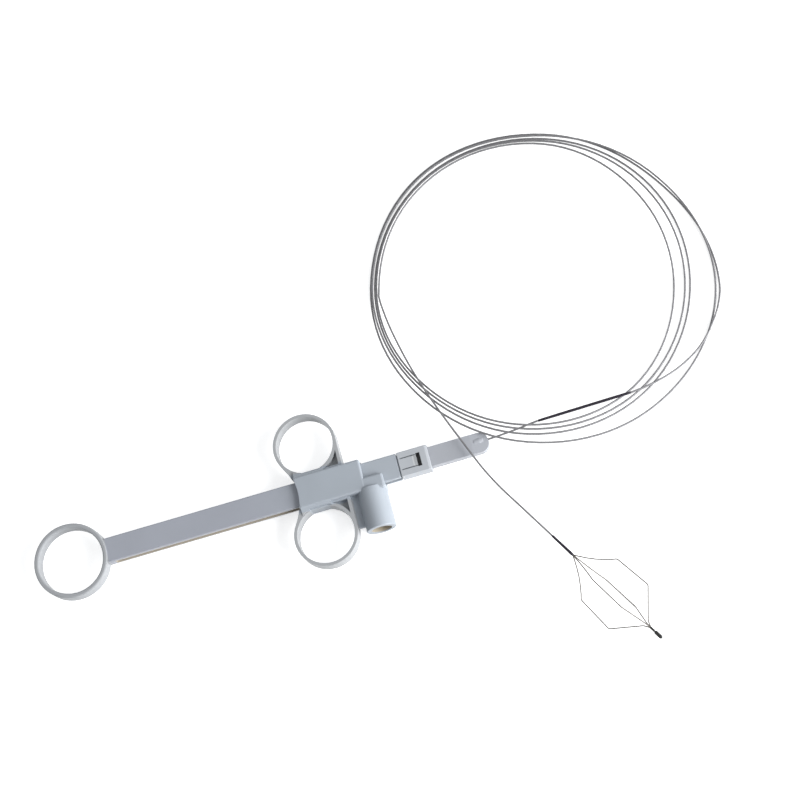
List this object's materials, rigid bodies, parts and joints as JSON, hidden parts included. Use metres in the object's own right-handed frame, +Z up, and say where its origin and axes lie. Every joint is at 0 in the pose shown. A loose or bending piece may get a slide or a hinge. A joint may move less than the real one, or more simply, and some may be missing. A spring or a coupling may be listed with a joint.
{
  "type": "stone retrieval basket",
  "caption": "Three-ring plastic handle whose sliding finger rings draw a wire basket into the end of a thin coiled steel sheath.",
  "frame": {"origin": "on the table under the middle of the handle, without the sheath and basket", "axes": "+X along the handle from the thumb ring to the nose, +Z up, +Y towards the finger ring that is opposite the side port"},
  "size_m": [0.3209, 0.2408, 0.0242],
  "materials": {
    "handle_plastic": "light blue-grey plastic, fine satin",
    "slider_plastic": "light blue-grey plastic, fine satin",
    "nose_plastic": "light grey plastic, fine satin",
    "steel": "drawn steel",
    "wire_steel": "bright drawn wire",
    "brass": "turned brass",
    "seal_rubber": "black rubber",
    "dark_sleeve": "dark shrunk sleeve",
    "tip_steel": "dark steel"
  },
  "bodies": {
    "handle": {"handle_stem": "handle_plastic", "clip_sleeve": "handle_plastic", "nose": "nose_plastic", "guide_bush": "brass", "seal_ring": "seal_rubber", "sheath_anchor": "steel", "sheath_lead_in": "steel", "sheath_boot": "dark_sleeve", "sheath_coil": "steel", "sheath_lead_out": "steel", "sheath_end": "steel", "distal_sleeve": "dark_sleeve"},
    "slider": {"slider": "slider_plastic", "clamp_block": "brass", "clamp_screw": "steel", "pull_tube": "steel", "drive_cable": "wire_steel"},
    "basket": {"basket_hub": "steel", "basket_wire_1": "wire_steel", "basket_wire_2": "wire_steel", "basket_wire_3": "wire_steel", "basket_wire_4": "wire_steel", "tip_crimp": "tip_steel", "tip_cap": "tip_steel"}
  },
  "joints": [
    {"name": "slider_slide", "type": "slide", "parent": "handle", "child": "slider", "axis": [1, 0, 0], "range_m": [-0.0425, 0.005]},
    {"name": "basket_slide", "type": "slide", "parent": "handle", "child": "basket", "axis": [0.5075, -0.8616, 0], "range_m": [-0.0425, 0.005], "deforming": ["basket_wire_1", "basket_wire_2", "basket_wire_3", "basket_wire_4"]}
  ],
  "couplings": [
    {"joint": "basket_slide", "follows": "slider_slide", "ratio": 1}
  ]
}
